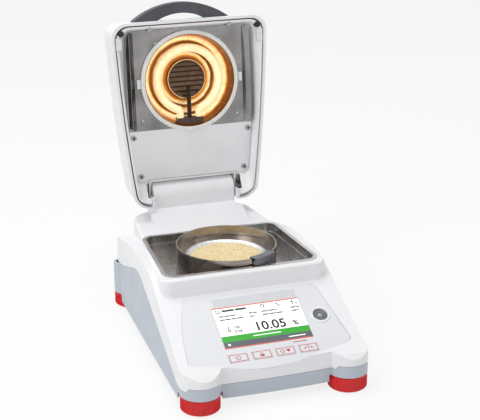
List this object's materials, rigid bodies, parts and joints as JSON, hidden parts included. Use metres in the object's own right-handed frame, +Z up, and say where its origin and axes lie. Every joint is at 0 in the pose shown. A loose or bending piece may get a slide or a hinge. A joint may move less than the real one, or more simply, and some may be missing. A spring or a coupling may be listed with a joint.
{
  "type": "moisture analyzer",
  "caption": "Halogen moisture analyzer: tapered two-tone base with tilted console, heated chamber with weighing pan, and a tall hinged heater lid.",
  "frame": {"origin": "on the table, under the middle of the instrument's outline with its lid open", "axes": "+X to the user's right, +Y to the back, +Z up"},
  "size_m": [0.199, 0.3737, 0.3422],
  "materials": {
    "white_abs": "moulded white ABS, fine satin",
    "grey_abs": "moulded light blue-grey ABS",
    "red_plastic": "moulded red nylon, knurled",
    "rubber_pad": "moulded black rubber",
    "zinc_steel": "zinc-plated steel",
    "brass": "turned brass",
    "cast_alloy": "die-cast alloy",
    "milled_alloy": "milled aluminium",
    "circuit": "green glass-fibre board",
    "black_plastic": "moulded black nylon",
    "panel_film": "light grey moulded panel",
    "display": "lit display under flat glass",
    "vial_glass": "clear vial with tinted liquid",
    "chrome_ring": "bright ring",
    "polished_steel": "drawn stainless steel, polished",
    "satin_steel": "satin stainless sheet",
    "dish_foil": "pressed aluminium foil",
    "grains": "pale yellow granules",
    "dark_grip": "moulded dark grey plastic",
    "gilded": "gold-coated reflector",
    "ceramic": "fired ceramic",
    "quartz_lamp": "quartz tube with gold coating, lit",
    "dark_louvre": "black painted steel"
  },
  "bodies": {
    "base": {"lower_housing": "grey_abs", "upper_housing": "white_abs", "console_panel": "panel_film", "display_glass": "display", "display_module": "black_plastic", "key_board": "circuit", "level_vial": "vial_glass", "level_ring": "chrome_ring", "chamber_liner": "polished_steel", "chassis": "cast_alloy", "load_cell": "milled_alloy", "load_cell_screws": "zinc_steel", "load_pin": "zinc_steel", "pan_support": "satin_steel", "main_board": "circuit", "power_board": "circuit", "board_screws": "zinc_steel", "chassis_screws": "zinc_steel", "power_inlet": "black_plastic", "data_sockets": "zinc_steel", "foot_inserts": "brass", "hinge_shaft": "zinc_steel", "hinge_bracket": "zinc_steel"},
    "lid": {"lid_shell": "white_abs", "lid_frame": "white_abs", "lid_bumpers": "rubber_pad", "rim_clips": "white_abs", "frame_screws": "zinc_steel", "lid_liner": "polished_steel", "cover_plate": "satin_steel", "cover_screws": "zinc_steel", "reflector_ring": "ceramic", "reflector": "gilded", "lamp_holder": "ceramic", "halogen_lamp": "quartz_lamp", "temp_sensor": "dark_louvre", "vent_grille": "dark_louvre", "lid_handle": "dark_grip", "hinge_arms": "zinc_steel"},
    "handler": {"pan_handler": "polished_steel", "handler_grip": "dark_grip"},
    "dish": {"sample_dish": "dish_foil", "sample": "grains"},
    "key_1": {"key_1": "panel_film"},
    "key_2": {"key_2": "panel_film"},
    "key_3": {"key_3": "panel_film"},
    "key_4": {"key_4": "panel_film"},
    "pad_front_left": {"foot_pad_front_left": "rubber_pad"},
    "wheel_front_left": {"foot_wheel_front_left": "red_plastic", "foot_stud_front_left": "zinc_steel"},
    "pad_front_right": {"foot_pad_front_right": "rubber_pad"},
    "wheel_front_right": {"foot_wheel_front_right": "red_plastic", "foot_stud_front_right": "zinc_steel"},
    "pad_rear_left": {"foot_pad_rear_left": "rubber_pad"},
    "wheel_rear_left": {"foot_wheel_rear_left": "red_plastic", "foot_stud_rear_left": "zinc_steel"},
    "pad_rear_right": {"foot_pad_rear_right": "rubber_pad"},
    "wheel_rear_right": {"foot_wheel_rear_right": "red_plastic", "foot_stud_rear_right": "zinc_steel"}
  },
  "joints": [
    {"name": "lid_hinge", "type": "hinge", "parent": "base", "child": "lid", "pos_m": [0, 0.1169, 0.129], "axis": [-1, 0, 0], "range_deg": [-96, 0]},
    {"name": "handler_lift", "type": "slide", "parent": "base", "child": "handler", "axis": [0, 0, 1], "range_m": [0, 0.06]},
    {"name": "dish_lift", "type": "slide", "parent": "handler", "child": "dish", "axis": [0, 0, 1], "range_m": [0, 0.04]},
    {"name": "key_1_press", "type": "slide", "parent": "base", "child": "key_1", "axis": [0, 0.4454, -0.8953], "range_m": [0, 0.0005], "stiffness_N_per_m": 800, "springref_m": -0.0005},
    {"name": "key_2_press", "type": "slide", "parent": "base", "child": "key_2", "axis": [0, 0.4454, -0.8953], "range_m": [0, 0.0005], "stiffness_N_per_m": 800, "springref_m": -0.0005},
    {"name": "key_3_press", "type": "slide", "parent": "base", "child": "key_3", "axis": [0, 0.4454, -0.8953], "range_m": [0, 0.0005], "stiffness_N_per_m": 800, "springref_m": -0.0005},
    {"name": "key_4_press", "type": "slide", "parent": "base", "child": "key_4", "axis": [0, 0.4454, -0.8953], "range_m": [0, 0.0005], "stiffness_N_per_m": 800, "springref_m": -0.0005},
    {"name": "foot_front_left_height", "type": "slide", "parent": "base", "child": "pad_front_left", "axis": [0, 0, -1], "range_m": [0, 0.008]},
    {"name": "foot_front_left_turn", "type": "hinge", "parent": "pad_front_left", "child": "wheel_front_left", "pos_m": [-0.079, -0.1676, 0], "axis": [0, 0, -1], "range_deg": [0, 2304]},
    {"name": "foot_front_right_height", "type": "slide", "parent": "base", "child": "pad_front_right", "axis": [0, 0, -1], "range_m": [0, 0.008]},
    {"name": "foot_front_right_turn", "type": "hinge", "parent": "pad_front_right", "child": "wheel_front_right", "pos_m": [0.079, -0.1676, 0], "axis": [0, 0, -1], "range_deg": [0, 2304]},
    {"name": "foot_rear_left_height", "type": "slide", "parent": "base", "child": "pad_rear_left", "axis": [0, 0, -1], "range_m": [0, 0.008]},
    {"name": "foot_rear_left_turn", "type": "hinge", "parent": "pad_rear_left", "child": "wheel_rear_left", "pos_m": [-0.0747, 0.1112, 0], "axis": [0, 0, -1], "range_deg": [0, 2304]},
    {"name": "foot_rear_right_height", "type": "slide", "parent": "base", "child": "pad_rear_right", "axis": [0, 0, -1], "range_m": [0, 0.008]},
    {"name": "foot_rear_right_turn", "type": "hinge", "parent": "pad_rear_right", "child": "wheel_rear_right", "pos_m": [0.0747, 0.1112, 0], "axis": [0, 0, -1], "range_deg": [0, 2304]}
  ],
  "couplings": [
    {"joint": "foot_front_left_turn", "follows": "foot_front_left_height", "rad_per_m": 5026.5},
    {"joint": "foot_front_right_turn", "follows": "foot_front_right_height", "rad_per_m": 5026.5},
    {"joint": "foot_rear_left_turn", "follows": "foot_rear_left_height", "rad_per_m": 5026.5},
    {"joint": "foot_rear_right_turn", "follows": "foot_rear_right_height", "rad_per_m": 5026.5}
  ]
}
